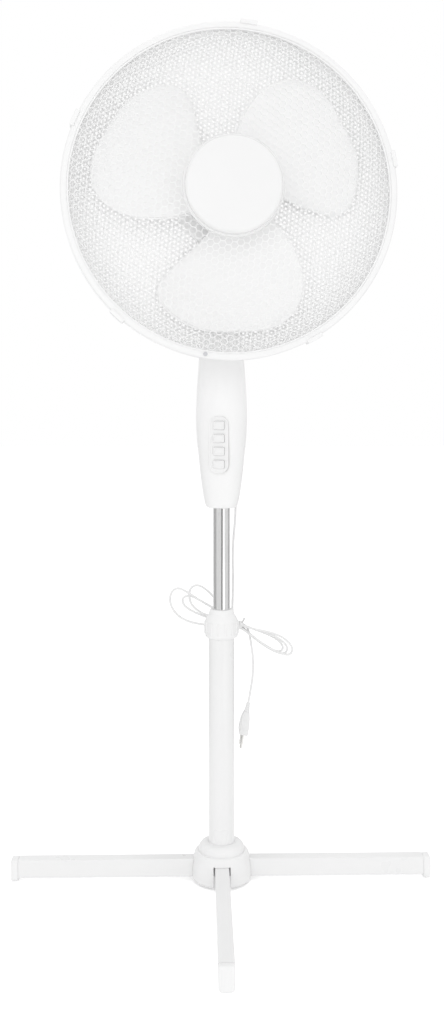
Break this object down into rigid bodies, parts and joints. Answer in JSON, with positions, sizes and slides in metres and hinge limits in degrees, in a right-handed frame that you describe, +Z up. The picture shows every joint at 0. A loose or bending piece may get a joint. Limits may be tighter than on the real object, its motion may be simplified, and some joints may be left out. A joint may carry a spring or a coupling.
{
  "type": "pedestal fan",
  "caption": "White pedestal fan: cross base, sliding pole, neck casing with push buttons, caged blades on a motor head that tilts and oscillates.",
  "frame": {"origin": "on the floor under the pole, at the centre of the cross base", "axes": "+Z up along the pole, -Y to the front, +X to the right seen from the front"},
  "size_m": [0.55, 0.55, 1.0833],
  "materials": {
    "enamel": "white stove enamel",
    "white_plastic": "satin moulded",
    "gloss_plastic": "gloss moulded",
    "inner_plastic": "plain moulded",
    "chrome": "bright chrome plate",
    "steel": "zinc plated",
    "cast_aluminium": "die cast",
    "motor_steel": "laminated",
    "copper": "enamelled wire",
    "bronze": "sintered",
    "cord_pvc": "white flexible sheath",
    "plug_metal": "nickel plated"
  },
  "bodies": {
    "base": {"cross_tube_x": "enamel", "cross_tube_y": "enamel", "end_cap_right": "white_plastic", "end_cap_rear": "white_plastic", "end_cap_left": "white_plastic", "end_cap_front": "white_plastic", "pole_flange": "steel", "base_screws": "steel", "base_cover": "white_plastic", "pole": "enamel", "clamp_collet": "inner_plastic"},
    "collar": {"collar_nut": "white_plastic"},
    "column": {"inner_tube": "chrome", "tube_guide": "inner_plastic", "tube_socket": "inner_plastic", "casing_front": "white_plastic", "casing_rear": "white_plastic", "casing_screws": "steel", "button_panel": "white_plastic", "switch_block": "inner_plastic", "neck_clevis": "white_plastic", "tilt_bolt": "steel", "tilt_nut": "steel", "cord_gland": "white_plastic", "cord_lead": "cord_pvc", "cord_hank": "cord_pvc", "cord_tail": "cord_pvc", "twist_tie": "cord_pvc", "plug": "white_plastic", "plug_pins": "plug_metal"},
    "stop_key": {"button_stop": "white_plastic"},
    "low_key": {"button_low": "white_plastic"},
    "medium_key": {"button_medium": "white_plastic"},
    "high_key": {"button_high": "white_plastic"},
    "neck": {"tilt_bracket": "white_plastic"},
    "head": {"motor_front_bell": "cast_aluminium", "motor_rear_bell": "cast_aluminium", "stator_core": "motor_steel", "stator_coils": "copper", "front_bearing": "bronze", "rear_bearing": "bronze", "motor_plate": "white_plastic", "gearbox": "inner_plastic", "motor_cover": "white_plastic", "cover_screw": "steel", "rear_guard": "white_plastic", "guard_lock_nut": "white_plastic", "front_guard": "white_plastic", "guard_ring": "white_plastic", "rim_clips": "white_plastic", "rim_screw": "steel", "centre_cap": "gloss_plastic"},
    "rotor": {"motor_shaft": "steel", "rotor_core": "motor_steel", "fan_blades": "gloss_plastic", "blade_nut": "gloss_plastic"},
    "knob": {"clutch_knob": "white_plastic"}
  },
  "joints": [
    {"name": "collar_turn", "type": "hinge", "parent": "base", "child": "collar", "pos_m": [0, 0, 0.335], "axis": [0, 0, 1], "range_deg": [0, 180]},
    {"name": "height_slide", "type": "slide", "parent": "base", "child": "column", "axis": [0, 0, 1], "range_m": [-0.08, 0.09]},
    {"name": "tilt", "type": "hinge", "parent": "column", "child": "neck", "pos_m": [0, 0, 0.785], "axis": [0.9903, -0.1392, 0], "range_deg": [-20, 12]},
    {"name": "oscillation", "type": "hinge", "parent": "neck", "child": "head", "pos_m": [0, 0, 0.815], "axis": [0, 0, 1], "range_deg": [-52, 28]},
    {"name": "fan_spin", "type": "hinge", "parent": "head", "child": "rotor", "pos_m": [0, 0, 0.878], "axis": [0.0698, -0.9976, 0], "continuous": true},
    {"name": "knob_pull", "type": "slide", "parent": "head", "child": "knob", "axis": [0, 0, 1], "range_m": [-0.008, 0]},
    {"name": "stop_press", "type": "slide", "parent": "column", "child": "stop_key", "axis": [0.1392, 0.9903, 0], "range_m": [0, 0.004], "stiffness_N_per_m": 250},
    {"name": "low_press", "type": "slide", "parent": "column", "child": "low_key", "axis": [0.1392, 0.9903, 0], "range_m": [0, 0.004], "stiffness_N_per_m": 250},
    {"name": "medium_press", "type": "slide", "parent": "column", "child": "medium_key", "axis": [0.1392, 0.9903, 0], "range_m": [0, 0.004], "stiffness_N_per_m": 250},
    {"name": "high_press", "type": "slide", "parent": "column", "child": "high_key", "axis": [0.1392, 0.9903, 0], "range_m": [0, 0.004], "stiffness_N_per_m": 250}
  ]
}
